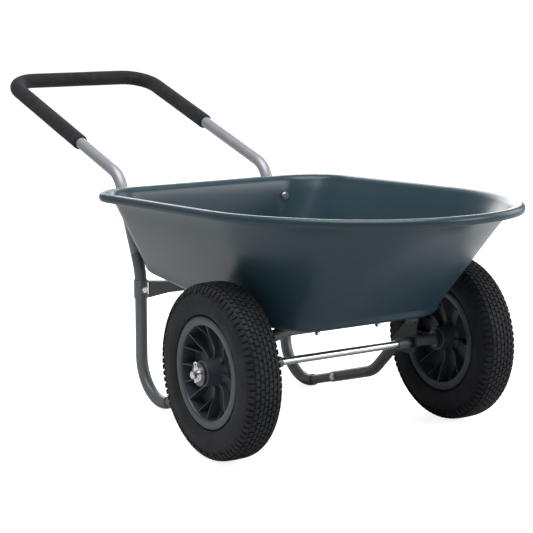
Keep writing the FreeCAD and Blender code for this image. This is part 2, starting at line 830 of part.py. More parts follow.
def make_rim(side, sign):
    rim = new_body(f"rim_{side}")
    barrel = mirrored_profile([
        ("rim_half_width", "flange_radius"),
        ("rim_half_width", "barrel_radius - barrel_wall"),
    ]) + list(reversed(mirrored_profile([
        ("rim_half_width - flange_thickness", "flange_radius"),
        ("rim_half_width - flange_thickness", "barrel_radius"),
    ])))
    add_turned(rim, "barrel", "XZ_Plane", barrel, [None] * len(barrel), wheel_offset(sign))
    web_start = "hub_radius - web_root"
    web_end = "barrel_radius - barrel_wall + web_root"
    web = [("-web_half_thickness", web_start), ("web_half_thickness", web_start),
           ("web_half_thickness", web_end), ("-web_half_thickness", web_end)]
    add_turned(rim, "web", "XZ_Plane", web, [None] * len(web), wheel_offset(sign))
    inward = f"{-sign} * hub_inner_reach"
    outward = f"{sign} * hub_outer_reach"
    hub = [(inward, "bush_radius"), (outward, "bush_radius"), (outward, "hub_radius"), (inward, "hub_radius")]
    add_turned(rim, "hub", "XZ_Plane", hub, [None] * len(hub), wheel_offset(sign))
    rib = add_sketch(rim, "rib_outline", "XZ_Plane", wheel_offset(sign))
    edge = [
        ("rib_barrel_edge", web_end),
        ("rib_mid_edge", "rib_mid_radius"),
        ("rib_hub_edge", web_start),
    ]
    add_outline(rib, mirrored_profile(edge), [None, "rib_bend", None, None, "rib_bend", None])
    doc.recompute()
    plate = add_prism(rim, "rib", rib, "2 * rib_half_thickness", symmetric=True)
    pattern = rim.newObject("PartDesign::PolarPattern", "ribs")
    pattern.Originals = [plate]
    pattern.Axis = (rib, ["H_Axis"])
    pattern.Angle = 360
    pattern.setExpression("Occurrences", rule("rib_count"))
    rim.Tip = pattern
    doc.recompute()
    hole_at = dict(zip("yz", along_valve("valve_hole_line")))
    drill(rim, "valve_hole", "XY_Plane", [(f"{sign} * half_track", 0)], "valve_radius + bolt_gap",
          "2 * short_drill", hole_at, "-valve_angle")
    return rim


def make_bushes(side, sign):
    face = "half_track + hub_outer_reach"
    back = "half_track - hub_inner_reach"
    outer = bush(f"bush_outer_{side}", sign, f"{face} - bush_length", face, face)
    inner = bush(f"bush_inner_{side}", sign, back, f"{back} + bush_length", f"{back} - bush_flange")
    return outer, inner


def bush(name, sign, start, end, flange_start):
    barrel = ring_along_axle(f"{name}_barrel", sign, start, f"({end}) - ({start})", "bush_radius",
                             "rod_radius + running_clearance")
    flange = ring_along_axle(f"{name}_flange", sign, flange_start, "bush_flange", "bush_flange_radius",
                             "rod_radius + running_clearance")
    return add_fuse(name, [barrel, flange])


def along_valve(radius):
    """A point on the valve's line, between two ribs, at a radius from the axle."""
    line = f"({radius}) * sin(valve_angle * 1 deg)"
    height = f"wheel_radius + ({radius}) * cos(valve_angle * 1 deg)"
    return line, height


def make_valve(side, sign):
    line, height = along_valve("valve_tip_radius")
    length = "tube_ring_radius - tube_section_radius - valve_tip_radius - valve_gap"
    leaning = Rotation(Vector(1, 0, 0), -number_of("valve_angle"))
    tip = (f"{sign} * half_track", line, height)
    return add_cylinder(f"valve_{side}", "valve_radius", length, leaning, tip)


# Fasteners: identical ones share a node.
def make_bolts(name, spots, rotation, direction, length):
    """Round-headed bolts; each spot is the underside of a head, and direction the shank's axis and sign."""
    axis, sign = direction
    bolts = []
    for index, spot in enumerate(spots, start=1):
        head_at = list(spot)
        shank_at = list(spot)
        place_index = "xyz".index(axis)
        if sign > 0:
            head_at[place_index] = f"({spot[place_index]}) - bolt_head"
        else:
            shank_at[place_index] = f"({spot[place_index]}) - ({length})"
        head = add_cylinder(f"{name}_{index}_head", "bolt_head_radius", "bolt_head", rotation, head_at)
        shank = add_cylinder(f"{name}_{index}_shank", "bolt_radius", length, rotation, shank_at)
        bolts.append(add_fuse(f"{name}_{index}", [head, shank]))
    return add_group(name, bolts)


def make_nuts(name, spots, rotation):
    nuts = []
    for index, spot in enumerate(spots, start=1):
        body = add_hexagon(f"{name}_{index}_body", "nut_radius", "nut_height", rotation, spot)
        hole = add_cylinder(f"{name}_{index}_hole", "bolt_radius + fit_gap", "nut_height", rotation, spot)
        nuts.append(add_cut(f"{name}_{index}", body, hole))
    return add_group(name, nuts)


def make_rings(name, spots, rotation, radius, height):
    return add_group(name, [
        add_washer(f"{name}_{index}", radius, "bolt_radius + bolt_gap", height, rotation, spot)
        for index, spot in enumerate(spots, start=1)
    ])


def on_both_sides(x, y, z):
    return [(f"{sign} * ({x})", y, z) for sign in SIDES.values()]


def make_fasteners():
    floor_rise = "floor_bolt_line * tan(floor_tilt * 1 deg) + tray_wall / cos(floor_tilt * 1 deg)"
    washer_top = f"floor_height + {floor_rise} + floor_washer_lift"
    crossing = under_tray_crossing()[1]
    nut_under = f"{crossing} - front_radius - bolt_gap - nut_height"
    floor_spots = {
        height: on_both_sides("floor_bolt_span", "floor_bolt_line", height)
        for height in (washer_top, f"{washer_top} + plain_washer", nut_under)
    }
    washers, heads, nuts = floor_spots.values()
    make_rings("floor_washers", washers, Rotation(), "plain_washer_radius", "plain_washer")
    shank = f"{washer_top} + plain_washer - ({nut_under}) + floor_bolt_end"
    make_bolts("floor_bolts", heads, Rotation(), ("z", -1), shank)
    make_nuts("floor_nuts", nuts, Rotation())

    def wall_spots(line):
        return on_both_sides("leg_span", line, "wall_bolt_height")

    washer_line = "wall_inside - plain_washer"
    nut_line = f"{washer_line} + wall_bolt_length - nut_height - wall_bolt_end"
    spacer_length = "wall_spacer_end - wall_spacer_start"
    make_rings("wall_washers", wall_spots(washer_line), ALONG_Y, "plain_washer_radius", "plain_washer")
    make_bolts("wall_bolts", wall_spots(washer_line), ALONG_Y, ("y", 1), "wall_bolt_length")
    make_rings("wall_spacers", wall_spots("wall_spacer_start"), ALONG_Y, "wall_spacer_radius", spacer_length)
    make_nuts("wall_nuts", wall_spots(nut_line), ALONG_Y)

    front = on_both_sides("leg_span", "leg_line - band_radius - bolt_gap", "brace_height")
    back = on_both_sides("leg_span", "leg_line + band_radius + bolt_gap", "brace_height")
    make_bolts("brace_bolts", front, ALONG_Y, ("y", 1), "2 * band_radius + nut_height + bolt_end")
    make_nuts("brace_nuts", back, ALONG_Y)

    joint_y, joint_z = along_the_foot("joint_bolt")
    inner_side = "leg_span - front_radius - bolt_gap"
    outer_side = "leg_span + front_radius + bolt_gap"
    shank = "2 * front_radius + nut_height + bolt_end"
    make_bolts("joint_bolt_left", [(inner_side, joint_y, joint_z)], ALONG_X, ("x", 1), shank)
    make_bolts("joint_bolt_right", [(f"-({inner_side})", joint_y, joint_z)], ALONG_X, ("x", -1), shank)
    spots = [(outer_side, joint_y, joint_z), (f"-({outer_side}) - nut_height", joint_y, joint_z)]
    make_nuts("joint_nuts", spots, ALONG_X)


def make_wheel(side, sign):
    make_tyre(side, sign)
    make_inner_tube(side, sign)
    make_rim(side, sign)
    make_bushes(side, sign)
    make_valve(side, sign)


make_tray()
make_handle()
make_grip()
make_front_frame()
make_brace()
make_axle()
for side_name, side_sign in SIDES.items():
    make_leg(side_name, side_sign)
    make_gusset(side_name, side_sign)
    make_wheel(side_name, side_sign)
make_fasteners()
doc.recompute()

WHEEL_NODES = ["tyre", "inner_tube", "rim", "bush_outer", "bush_inner", "valve"]
AXLE_NODES = ["axle_bracket", "axle_sleeve", "inner_washer", "outer_washer", "end_washer", "split_pin", "leg",
              "joint_bolt"]
NODES = [f"{name}_{side}" for name in WHEEL_NODES + AXLE_NODES for side in SIDES]
NODES += ["tray", "handle_tube", "foam_grip", "front_frame_tube", "rear_brace", "axle_rod"]
NODES += ["floor_bolts", "floor_washers", "floor_nuts", "wall_bolts", "wall_washers", "wall_spacers"]
NODES += ["wall_nuts", "brace_bolts", "brace_nuts", "joint_nuts"]

for item in doc.Objects:
    if "Invalid" in item.State or "Error" in item.State:
        raise RuntimeError(f"{item.Name} did not recompute: {item.State}")
by_label = {item.Label: item for item in doc.Objects}
for node in NODES:
    shape = by_label[node].Shape
    if shape.isNull() or not shape.isValid() or shape.Volume <= 0:
        raise RuntimeError(f"{node} has no valid solid")

os.makedirs("parts", exist_ok=True)
for node in NODES:
    by_label[node].Shape.exportStep(f"parts/{node}.step")
print(f"{len(NODES)} nodes written")
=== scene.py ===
"""Looks of a garden cart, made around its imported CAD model.

X runs to the pusher's left, Y back to the handle and Z up. Lengths are in metres, apart from the
outlines, profiles and rib edges, which are in millimetres and are scaled by MM. The tray's outlines
measure Y from the axle.
"""
import math

import bmesh
import bpy
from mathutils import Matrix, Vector


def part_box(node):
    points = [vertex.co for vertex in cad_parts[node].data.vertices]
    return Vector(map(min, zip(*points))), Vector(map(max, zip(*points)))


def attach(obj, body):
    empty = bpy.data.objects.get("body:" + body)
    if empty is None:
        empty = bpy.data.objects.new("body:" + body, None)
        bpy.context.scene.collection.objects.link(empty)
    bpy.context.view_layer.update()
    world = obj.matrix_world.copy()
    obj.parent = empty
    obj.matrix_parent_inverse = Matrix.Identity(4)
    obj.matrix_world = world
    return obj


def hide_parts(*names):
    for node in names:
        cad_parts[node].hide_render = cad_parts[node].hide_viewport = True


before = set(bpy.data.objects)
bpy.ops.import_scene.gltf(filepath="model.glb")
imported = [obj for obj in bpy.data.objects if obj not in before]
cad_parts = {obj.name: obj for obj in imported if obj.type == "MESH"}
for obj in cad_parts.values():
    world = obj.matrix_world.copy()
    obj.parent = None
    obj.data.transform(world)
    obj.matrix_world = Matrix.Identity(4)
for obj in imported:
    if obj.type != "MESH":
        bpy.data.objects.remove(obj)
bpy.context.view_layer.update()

MM = 0.001
TURN = 2 * math.pi
QUARTER = math.pi / 2
SMOOTH_ANGLE = math.radians(38)
SIDES = {"left": 1, "right": -1}

scene = bpy.context.scene
rod_low, rod_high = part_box("axle_rod")
AXLE = (rod_low + rod_high) / 2
WHEEL_RADIUS = AXLE.z


# ---------------------------------------------------------------- materials
PATCH_DETAIL = 3.0
GRAIN_DETAIL = 2.0
RAMP_START = 0.3
RAMP_END = 0.7


def new_material(name):
    made = bpy.data.materials.new(name)
    made.use_nodes = True
    nodes = made.node_tree.nodes
    nodes.clear()
    output = nodes.new("ShaderNodeOutputMaterial")
    shader = nodes.new("ShaderNodeBsdfPrincipled")
    made.node_tree.links.new(shader.outputs["BSDF"], output.inputs["Surface"])
    place = nodes.new("ShaderNodeTexCoord")
    return made, shader, place.outputs["Object"]


def add_noise(made, place, scale, detail):
    """The factor of a noise texture, with its scale to the metre."""
    nodes, links = made.node_tree.nodes, made.node_tree.links
    noise = nodes.new("ShaderNodeTexNoise")
    noise.inputs["Scale"].default_value = scale
    noise.inputs["Detail"].default_value = detail
    links.new(place, noise.inputs["Vector"])
    return noise.outputs["Fac"]


def add_ramp(made, factor, low, high):
    """Values or colours from low to high as the factor rises across the ramp."""
    nodes, links = made.node_tree.nodes, made.node_tree.links
    ramp = nodes.new("ShaderNodeValToRGB")
    for element, at, shade in zip(ramp.color_ramp.elements, (RAMP_START, RAMP_END), (low, high)):
        element.position = at
        element.color = (*shade, 1) if isinstance(shade, tuple) else (shade, shade, shade, 1)
    links.new(factor, ramp.inputs["Fac"])
    return ramp.outputs["Color"]


def add_bump(made, shader, height, strength, distance):
    nodes, links = made.node_tree.nodes, made.node_tree.links
    bump = nodes.new("ShaderNodeBump")
    bump.inputs["Strength"].default_value = strength
    bump.inputs["Distance"].default_value = distance
    links.new(height, bump.inputs["Height"])
    links.new(bump.outputs["Normal"], shader.inputs["Normal"])


def finish_of(name, dark, light, rough, patch=14, grain=900, bump=0.1, depth=0.2 * MM, metal=0.0,
              specular=0.5, sheen=0.0):
    """A finish whose colour and gloss vary in patches, with a fine grain in its surface."""
    made, shader, place = new_material(name)
    links = made.node_tree.links
    shader.inputs["Metallic"].default_value = metal
    shader.inputs["Specular IOR Level"].default_value = specular
    shader.inputs["Sheen Weight"].default_value = sheen
    patches = add_noise(made, place, patch, PATCH_DETAIL)
    fine = add_noise(made, place, grain, GRAIN_DETAIL)
    links.new(add_ramp(made, patches, dark, light), shader.inputs["Base Color"])
    links.new(add_ramp(made, fine, rough[0], rough[1]), shader.inputs["Roughness"])
    add_bump(made, shader, fine, bump, depth)
    return made


tray_plastic = finish_of("tray_plastic", (0.0145, 0.035, 0.047), (0.0175, 0.040, 0.054), (0.27, 0.33),
                         patch=5, grain=700, bump=0.04, depth=0.1 * MM, specular=0.32)
# A lighter copy of the frame's grey paint for the handle tube: painted light, standing in for the light the
# tubes catch from above
painted_light_frame_paint = finish_of("painted_light_frame_paint", (0.22, 0.23, 0.25), (0.26, 0.27, 0.29), (0.34, 0.44),
                         metal=0.35, grain=1600, bump=0.12, depth=0.15 * MM)
# A darker copy of the frame's grey paint for the axle brackets: painted shade, standing in for the shadow
# under the tray
painted_shade_frame_paint = finish_of("painted_shade_frame_paint", (0.012, 0.0135, 0.016), (0.018, 0.020, 0.023), (0.40, 0.52),
                          metal=0.3, grain=1600, bump=0.14, depth=0.15 * MM)
frame_paint = finish_of("frame_paint", (0.112, 0.121, 0.132), (0.145, 0.155, 0.167), (0.36, 0.48),
                        metal=0.35, grain=1600, bump=0.14, depth=0.15 * MM)
foam_skin = finish_of("foam_skin", (0.005, 0.0055, 0.0065), (0.012, 0.0125, 0.014), (0.78, 0.95),
                      patch=60, grain=1100, bump=0.6, depth=0.5 * MM, specular=0.25, sheen=0.05)
zinc = finish_of("zinc", (0.66, 0.67, 0.69), (0.80, 0.81, 0.82), (0.18, 0.34), metal=1.0, patch=90,
                 grain=1400, bump=0.06, depth=0.1 * MM)
rod_zinc = finish_of("rod_zinc", (0.50, 0.515, 0.54), (0.63, 0.645, 0.67), (0.20, 0.34), metal=1.0, patch=90,
                     grain=1400, bump=0.06, depth=0.1 * MM)
dull_zinc = finish_of("dull_zinc", (0.10, 0.095, 0.09), (0.19, 0.18, 0.17), (0.32, 0.5), metal=1.0, patch=120,
                      grain=1400, bump=0.1, depth=0.1 * MM)
tyre_rubber = finish_of("tyre_rubber", (0.0130, 0.0137, 0.0165), (0.0220, 0.0228, 0.026), (0.52, 0.70),
                        patch=40, grain=1300, bump=0.25, depth=0.2 * MM, specular=0.15)
rim_plastic = finish_of("rim_plastic", (0.029, 0.035, 0.045), (0.038, 0.045, 0.056), (0.34, 0.46),
                        patch=30, grain=1100, bump=0.12, depth=0.12 * MM)
bush_plastic = finish_of("bush_plastic", (0.014, 0.014, 0.015), (0.022, 0.022, 0.024), (0.4, 0.55),
                         patch=60, grain=1200, bump=0.1)


# ---------------------------------------------------------------- pieces
def make_piece(name, points, faces, finish, body):
    mesh = bpy.data.meshes.new(name)
    mesh.from_pydata([tuple(point) for point in points], [], faces)
    solid = bmesh.new()
    solid.from_mesh(mesh)
    bmesh.ops.recalc_face_normals(solid, faces=solid.faces)
    for face in solid.faces:
        face.smooth = True
    solid.to_mesh(mesh)
    solid.free()
    mesh.set_sharp_from_angle(angle=SMOOTH_ANGLE)
    mesh.materials.append(finish)
    piece = bpy.data.objects.new(name, mesh)
    scene.collection.objects.link(piece)
    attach(piece, body)
    return piece


def loop_faces(rings, count, closed=False, start=0):
    """Quads between rings of count points each; closed joins the last ring to the first."""
    faces = []
    for ring in range(rings if closed else rings - 1):
        after = (ring + 1) % rings
        for index in range(count):
            other = (index + 1) % count
            faces.append((start + ring * count + index, start + ring * count + other,
                          start + after * count + other, start + after * count + index))
    return faces


class Shape:
    """Points and faces gathered from several closed shells."""

    def __init__(self):
        self.points = []
        self.faces = []

    def add(self, points, faces):
        start = len(self.points)
        self.points += points
        self.faces += [tuple(start + index for index in face) for face in faces]


def smooth_line(points, steps):
    """A Catmull-Rom line through the points."""
    line = []
    last = len(points) - 1
    for index in range(last):
        before, start = points[max(index - 1, 0)], points[index]
        end, after = points[index + 1], points[min(index + 2, last)]
        for step in range(steps):
            t = step / steps
            line.append(tuple(
                0.5 * (2 * b + (c - a) * t + (2 * a - 5 * b + 4 * c - d) * t ** 2
                       + (3 * b - a - 3 * c + d) * t ** 3)
                for a, b, c, d in zip(before, start, end, after)
            ))
    line.append(points[last])
    return line


# ---------------------------------------------------------------- tray
FLOOR = {"z": 244.2, "tilt": 4.54, "corners": (194.4, 202.5, 455, -50, 142, -110), "radii": (62, 95, 95)}
RIM = {"z": 456, "tilt": -1.95, "corners": (296, 296, 490, -137, 138, -375), "radii": (115, 460, 250)}
RIM_SHIFTS = (0.3, -0.53)
FLOOR_SHIFTS = (0.417, -0.412)
RIM_INSET = 16.7
WALL = 4.0
ARC_STEPS = 12
EDGE_STEPS = 12
FLOOR_EDGE = [(26, 0.0), (18, 0.3), (11, 1.3), (5.5, 3.4), (1, 7), (-2.2, 12), (-3.4, 19)]
LIP = [(-17.2, -9), (-15.6, -4.2), (-12.2, -0.6), (-7, 2.2), (-1, 3.4), (2.6, 1.6), (4.2, -2.4), (4.4, -6.8),
       (5.4, -8.3), (6.9, -7.6), (8.2, -3.6), (8.4, 0.8), (7.2, 4.8), (4, 7.7), (-1, 8.5), (-8, 7.5),
       (-14.4, 5.2), (-18.6, 1.6), (-20.4, -4)]
FLOOR_SHRINKS = (0.8, 0.5, 0.2)
WALL_STEPS = 9


def rounded_outline(corners, radii):
    """Points round an outline, the same number on each edge and on each corner's arc."""
    outline = []
    count = len(corners)
    for index in range(count):
        before, corner, after = (Vector(corners[(index + shift) % count]) for shift in (-1, 0, 1))
        back, ahead = (before - corner).normalized(), (after - corner).normalized()
        half = back.angle(ahead) / 2
        centre = corner + (back + ahead).normalized() * (radii[index] / math.sin(half))
        start = corner + back * (radii[index] / math.tan(half)) - centre
        end = corner + ahead * (radii[index] / math.tan(half)) - centre
        sweep = start.angle(end)
        turn = math.copysign(1, start.x * end.y - start.y * end.x)
        for step in range(ARC_STEPS + 1):
            angle = turn * sweep * step / ARC_STEPS
            spun = Vector((start.x * math.cos(angle) - start.y * math.sin(angle),
                           start.x * math.sin(angle) + start.y * math.cos(angle)))
            outline.append(centre + spun)
    full = []
    arc = ARC_STEPS + 1
    for index in range(count):
        full += outline[index * arc:(index + 1) * arc]
        start, end = outline[(index + 1) * arc - 1], outline[((index + 1) % count) * arc]
        full += [start.lerp(end, step / EDGE_STEPS) for step in range(1, EDGE_STEPS)]
    return full


def tray_ring(part, inset, lift, shifts):
    """A ring of points inset from the floor's or rim's outline, lifted off its sloping plane.

    The shifts move the shoulder along Y and the nose's corner along X for each millimetre of inset.
    """
    half_rear, half_front, rear, shoulder, nose_half, nose = part["corners"]
    left = [(half_rear - inset, rear - inset), (half_front - inset, shoulder + shifts[0] * inset),
            (nose_half + shifts[1] * inset, nose + inset)]
    corners = left + [(-x, y) for x, y in reversed(left)]
    radii = [max(radius - inset, 1) for radius in part["radii"]]
    tilt = math.radians(part["tilt"])
    return [
        Vector((x * MM, AXLE.y + y * math.cos(tilt) * MM, (part["z"] + lift + y * math.sin(tilt)) * MM))
        for x, y in rounded_outline(corners, radii + radii[::-1])
    ]


def wall_rings(inset):
    """Rings from the floor's middle, round its edge and up to just under the rim."""
    rings = [tray_ring(FLOOR, inset + inward, inset + lift, FLOOR_SHIFTS) for inward, lift in FLOOR_EDGE]
    top = tray_ring(RIM, RIM_INSET + inset, 0, RIM_SHIFTS)
    foot = rings[-1]
    for step in range(1, WALL_STEPS):
        rings.append([low.lerp(high, step / WALL_STEPS) for low, high in zip(foot, top)])
    middle = sum(rings[0], Vector()) / len(rings[0])
    floor = [[middle.lerp(point, share) for point in rings[0]] for share in reversed(FLOOR_SHRINKS)]
    return floor + rings, middle


def make_tray():
    outer, outer_middle = wall_rings(0)
    inner, inner_middle = wall_rings(WALL)
    lip = [tray_ring(RIM, -reach, lift, RIM_SHIFTS) for reach, lift in LIP]
    rings = outer + lip + inner[::-1]
    count = len(rings[0])
    points = [point for ring in rings for point in ring]
    faces = loop_faces(len(rings), count)
    for middle, start in ((outer_middle, 0), (inner_middle, (len(rings) - 1) * count)):
        points.append(middle)
        hub = len(points) - 1
        faces += [(hub, start + index, start + (index + 1) % count) for index in range(count)]
    tray = make_piece("tray_shell", points, faces, tray_plastic, "frame")
    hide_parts("tray")
    smoother = tray.modifiers.new("smooth", "SUBSURF")
    smoother.levels = smoother.render_levels = 1


# ---------------------------------------------------------------- wheels
TYRE_HALF = [(27.0, 93.6), (27.1, 100), (27.2, 104.6), (28.6, 106.6), (31.4, 107.6), (33.4, 109.4),
             (35.0, 113), (36.4, 119), (36.9, 127), (36.5, 134), (35.9, 138), (36.1, 140.4), (35.2, 144),
             (33.2, 149.5), (30.4, 154.5), (26.6, 158.6), (21, 160.9), (12, 161.8), (0, 162.0)]
TYRE_STEPS = 4
TYRE_TURNS = 160
PITCHES = 80
BLOCK_SHARE = 0.40
BLOCK_HEIGHT = 2.9
BLOCK_ROOT = 0.7
BLOCK_TAPER = 0.92
ZIGZAG = 1.2
BLOCK_ROWS = [(1.0, 7.6), (9.6, 16.2), (18.2, 24.6)]
SHOULDER_LUG = (26.6, 41.5)
LUG_STEPS = 5
LUG_SHARE = 0.9
SHORT_LUG_CUT = 3.5
RIM_HALF = [(0, 86.0), (20, 86.9), (28.2, 87.5), (30.6, 88.2), (31.9, 89.6), (32.3, 92.4), (32.5, 97),
            (32.4, 101), (31.7, 103.6), (30.0, 104.3), (28.4, 103.8), (27.5, 102.2), (27.3, 96), (26.2, 93.3),
            (20, 92.8), (0, 92.8)]
WEB = [(3, 22), (3, 88), (-3, 88), (-3, 22)]
HUB = [(-35.9, 14.2), (-35.9, 22.6), (-34.4, 24.2), (-14, 25.4), (-6, 27.6), (-3, 31), (3, 31), (6, 27.6),
       (14, 25.4), (39.2, 24.2), (40.9, 22.6), (40.9, 14.2)]
RIB_EDGE = [(29.5, 87.4), (24, 70), (18, 57), (14, 48), (12.4, 38), (13.2, 29), (14.6, 23)]
SHORT_RIB_EDGE = [(28.5, 87.4), (20, 78), (12, 70), (5, 62), (2, 57)]
RIB_HALF = 1.25
RIB_LAYERS = [(-1, 0.5), (-0.6, 0.0), (0.6, 0.0), (1, 0.5)]
RIB_STEPS = 3
RIBS = 8
RIM_TURNS = 128


def turned_shell(profile, turns, centre, sign):
    """A closed profile of (distance outwards, radius) in mm, turned about the axle."""
    points = []
    for step in range(turns):
        angle = TURN * step / turns
        points += [Vector((centre.x + sign * out * MM, centre.y + radius * MM * math.sin(angle),
                           centre.z + radius * MM * math.cos(angle))) for out, radius in profile]
    return points, loop_faces(turns, len(profile), closed=True)


def mirrored(half):
    """A closed profile from its outer half."""
    other = [(-out, radius) for out, radius in reversed(half)]
    joined = half + other
    return [point for index, point in enumerate(joined) if point != joined[index - 1]]


def along_surface(line):
    """Looks up a point and its outward direction on a line, by its length from the end of the line."""
    reversed_line = line[::-1]
    lengths = [0.0]
    for start, end in zip(reversed_line, reversed_line[1:]):
        lengths.append(lengths[-1] + math.dist(start, end))

    def at(length):
        index = max(i for i in range(len(lengths) - 1) if lengths[i] <= length)
        share = (length - lengths[index]) / (lengths[index + 1] - lengths[index])
        start, end = Vector(reversed_line[index]), Vector(reversed_line[index + 1])
        along = (end - start).normalized()
        return start.lerp(end, share), Vector((-along.y, along.x))

    return at


def add_block(shape, at, centre, sign, side, pairs):
    """A tread block over pairs of (length from the centre line, angle), one pair for each cross line."""
    spots = [spot for pair in pairs for spot in pair]
    mid_length = sum(length for length, _ in spots) / len(spots)
    mid_angle = sum(angle for _, angle in spots) / len(spots)
    points = []
    for pair in pairs:
        for height, taper in ((-BLOCK_ROOT, 1.0), (BLOCK_HEIGHT, BLOCK_TAPER)):
            for length, angle in pair:
                near = mid_length + (length - mid_length) * taper
                turn = mid_angle + (angle - mid_angle) * taper
                spot, outward = at(near)
                spot = spot + outward * height
                out, radius = sign * side * spot.x * MM, spot.y * MM
                points.append(Vector((centre.x + out, centre.y + radius * math.sin(turn),
                                      centre.z + radius * math.cos(turn))))
    last = (len(pairs) - 1) * 4
    faces = [(0, 1, 3, 2), (last, last + 2, last + 3, last + 1)]
    for start in range(0, last, 4):
        faces += [(start, start + 4, start + 5, start + 1), (start + 2, start + 3, start + 7, start + 6),
                  (start, start + 2, start + 6, start + 4), (start + 1, start + 5, start + 7, start + 3)]
    shape.add(points, faces)


def make_tyre(side, sign):
    low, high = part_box(f"tyre_{side}")
    centre = (low + high) / 2
    line = smooth_line(TYRE_HALF, TYRE_STEPS)
    shape = Shape()
    shape.add(*turned_shell(mirrored(line), TYRE_TURNS, centre, sign))
    at = along_surface(line)
    pitch = TURN / PITCHES
    half = BLOCK_SHARE * pitch
    for step in range(PITCHES):
        for flank in (1, -1):
            for row, (start, end) in enumerate(BLOCK_ROWS):
                middle = (step + 0.5 * ((row + (flank < 0)) % 2)) * pitch
                shifts = ((-half, -ZIGZAG / 2), (0, ZIGZAG / 2), (half, -ZIGZAG / 2))
                pairs = [((start + shift, middle + turn), (end + shift, middle + turn))
                         for turn, shift in shifts]
                add_block(shape, at, centre, sign, flank, pairs)
            middle = (step + 0.5 * (flank > 0)) * pitch
            lug_half = half * LUG_SHARE
            reach = SHOULDER_LUG[1] - SHOULDER_LUG[0] - (SHORT_LUG_CUT if step % 2 else 0)
            pairs = []
            for part in range(LUG_STEPS + 1):
                length = SHOULDER_LUG[0] + reach * part / LUG_STEPS
                pairs.append(((length, middle - lug_half), (length, middle + lug_half)))
            add_block(shape, at, centre, sign, flank, pairs)
    tyre = make_piece(f"tyre_tread_{side}", shape.points, shape.faces, tyre_rubber, f"wheel_{side}")
    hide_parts(f"tyre_{side}")


def rib_shell(centre, sign, angle, edge):
    """A thin rib through the web, whose two free edges follow the edge line."""
    outline = smooth_line(edge, RIB_STEPS)
    outline = outline + [(-out, radius) for out, radius in reversed(outline)]
    sideways = Vector((0, math.cos(angle), -math.sin(angle)))
    outwards = Vector((0, math.sin(angle), math.cos(angle)))
    points = []
    for share, shrink in RIB_LAYERS:
        for out, radius in outline:
            tucked = out - math.copysign(shrink, out)
            points.append(centre + Vector((sign * tucked * MM, 0, 0)) + outwards * (radius * MM)
                          + sideways * (share * RIB_HALF * MM))
    count = len(outline)
    layers = len(RIB_LAYERS)
    faces = loop_faces(layers, count)
    faces.append(tuple(range(count)))
    faces.append(tuple(range((layers - 1) * count, layers * count)))
    return points, faces


def make_rim(side, sign):
    low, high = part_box(f"tyre_{side}")
    centre = (low + high) / 2
    shape = Shape()
    shape.add(*turned_shell(mirrored(RIM_HALF), RIM_TURNS, centre, sign))
    shape.add(*turned_shell(WEB, RIM_TURNS, centre, sign))
    shape.add(*turned_shell(HUB, RIM_TURNS, centre, sign))
    for index in range(RIBS):
        angle = TURN * index / RIBS
        shape.add(*rib_shell(centre, sign, angle, RIB_EDGE))
        shape.add(*rib_shell(centre, sign, angle + TURN / RIBS / 2, SHORT_RIB_EDGE))
    rim = make_piece(f"rim_spokes_{side}", shape.points, shape.faces, rim_plastic, f"wheel_{side}")
    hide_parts(f"rim_{side}")


# ---------------------------------------------------------------- handle grip
ARM_RISE = math.radians(17.1)
TUBE_RADIUS = 12.5 * MM
GRIP_BEND = 65 * MM
GRIP_RADIUS = 17.1 * MM
GRIP_LEFT = 308 * MM
GRIP_RIGHT = 386 * MM
GRIP_STEP = 6 * MM
GRIP_SIDES = 28
GRIP_END = 6 * MM
GRIP_TUCK = 0.93
GRIP_SWELL = 0.005
GRIP_WAVE = 27 * MM


def grip_route(span, left, right):
    """Points of the grip's middle line in its own plane: across, and back along the arms."""
    route = []
    steps = int((left - GRIP_BEND) / GRIP_STEP)
    route += [(span, -left + (left - GRIP_BEND) * step / steps) for step in range(steps)]
    turns = int(QUARTER * GRIP_BEND / GRIP_STEP)
    route += [(span - GRIP_BEND + GRIP_BEND * math.cos(QUARTER * step / turns),
               -GRIP_BEND + GRIP_BEND * math.sin(QUARTER * step / turns)) for step in range(turns)]
    steps = int(2 * (span - GRIP_BEND) / GRIP_STEP)
    route += [(span - GRIP_BEND - 2 * (span - GRIP_BEND) * step / steps, 0) for step in range(steps)]
    route += [(-span + GRIP_BEND - GRIP_BEND * math.sin(QUARTER * step / turns),
               -GRIP_BEND + GRIP_BEND * math.cos(QUARTER * step / turns)) for step in range(turns)]
    steps = int((right - GRIP_BEND) / GRIP_STEP)
    route += [(-span, -GRIP_BEND - (right - GRIP_BEND) * step / steps) for step in range(steps + 1)]
    return route


